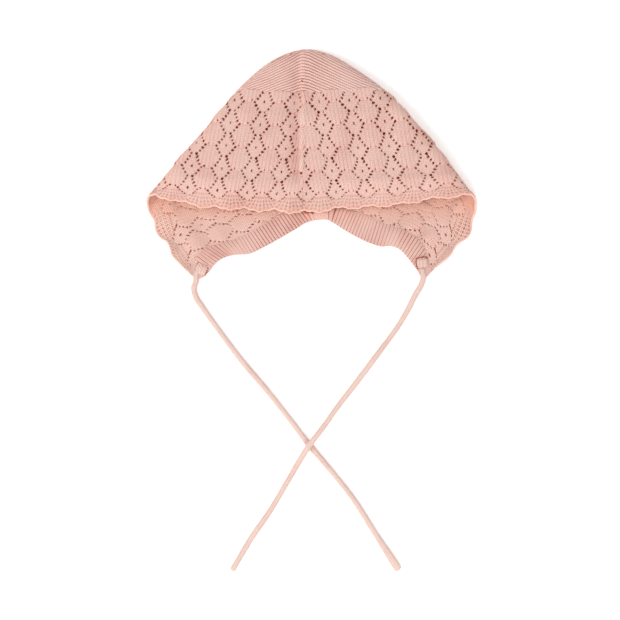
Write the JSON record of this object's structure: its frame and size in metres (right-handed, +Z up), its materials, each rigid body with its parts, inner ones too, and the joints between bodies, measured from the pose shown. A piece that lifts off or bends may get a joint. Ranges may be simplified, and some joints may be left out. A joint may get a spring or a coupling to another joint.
{
  "type": "knitted lace baby bonnet with ties",
  "caption": "Knitted lace baby bonnet with a scalloped face edge, ribbed neck band and two ties, lying flat.",
  "frame": {"origin": "middle of the bonnet's own box, without the ties, at the surface that it lies on", "axes": "+X to the bonnet's right as it lies, +Y from the neck edge to the peak, +Z up off the surface"},
  "size_m": [0.2246, 0.3541, 0.0135],
  "materials": {
    "blush_knit": "matte knit",
    "blush_rib": "matte knit",
    "pale_patch": "matte knit",
    "seam_thread": "matte thread",
    "tie_knit": "matte knit"
  },
  "bodies": {
    "root": {"hood": "blush_knit", "neck_band": "blush_rib", "left_tie_patch": "pale_patch", "right_tie_patch": "pale_patch", "nape_seam": "seam_thread", "left_tie": "tie_knit", "right_tie": "tie_knit"}
  },
  "joints": []
}
